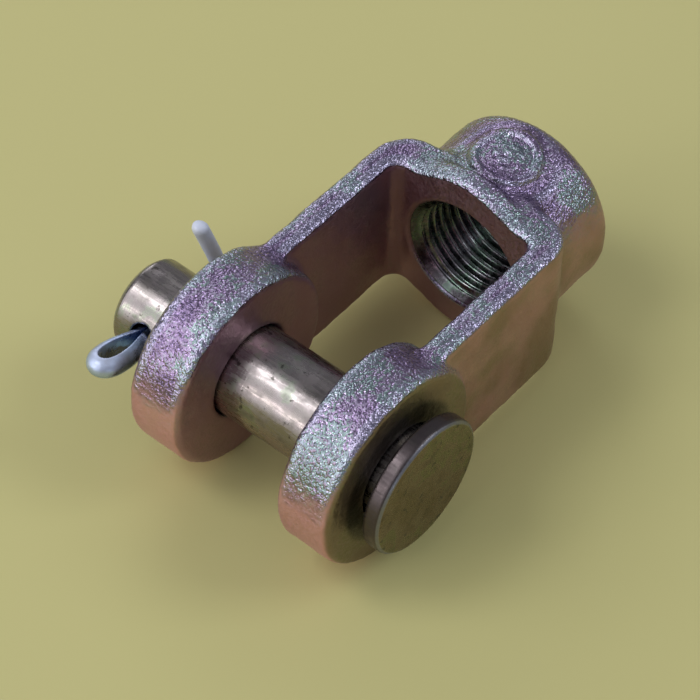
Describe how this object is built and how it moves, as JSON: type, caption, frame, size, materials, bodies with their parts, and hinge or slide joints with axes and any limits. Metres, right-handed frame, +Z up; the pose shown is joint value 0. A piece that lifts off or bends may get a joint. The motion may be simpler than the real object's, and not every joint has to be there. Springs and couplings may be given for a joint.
{
  "type": "clevis rod end",
  "caption": "Forged U-shaped clevis with a threaded rod socket, round ears, a headed clevis pin and a split cotter pin.",
  "frame": {"origin": "on the clevis pin's axis, midway between the two ears", "axes": "+X from the pin towards the threaded socket, +Y along the pin from its head to its cotter pin, +Z up, across the flat of the fork"},
  "size_m": [0.0637, 0.0464, 0.028],
  "materials": {
    "yoke_plating": "forged steel, shot blasted, yellow zinc plated with an iridescent bloom",
    "pin_plating": "turned steel, smooth yellow zinc plating",
    "cotter_zinc": "drawn half-round wire, bright clear zinc plating"
  },
  "bodies": {
    "yoke": {"yoke": "yoke_plating"},
    "pin": {"clevis_pin": "pin_plating", "cotter_pin": "cotter_zinc"}
  },
  "joints": [
    {"name": "pin_turn", "type": "hinge", "parent": "yoke", "child": "pin", "pos_m": [0, 0, 0], "axis": [0, 1, 0], "continuous": true}
  ]
}
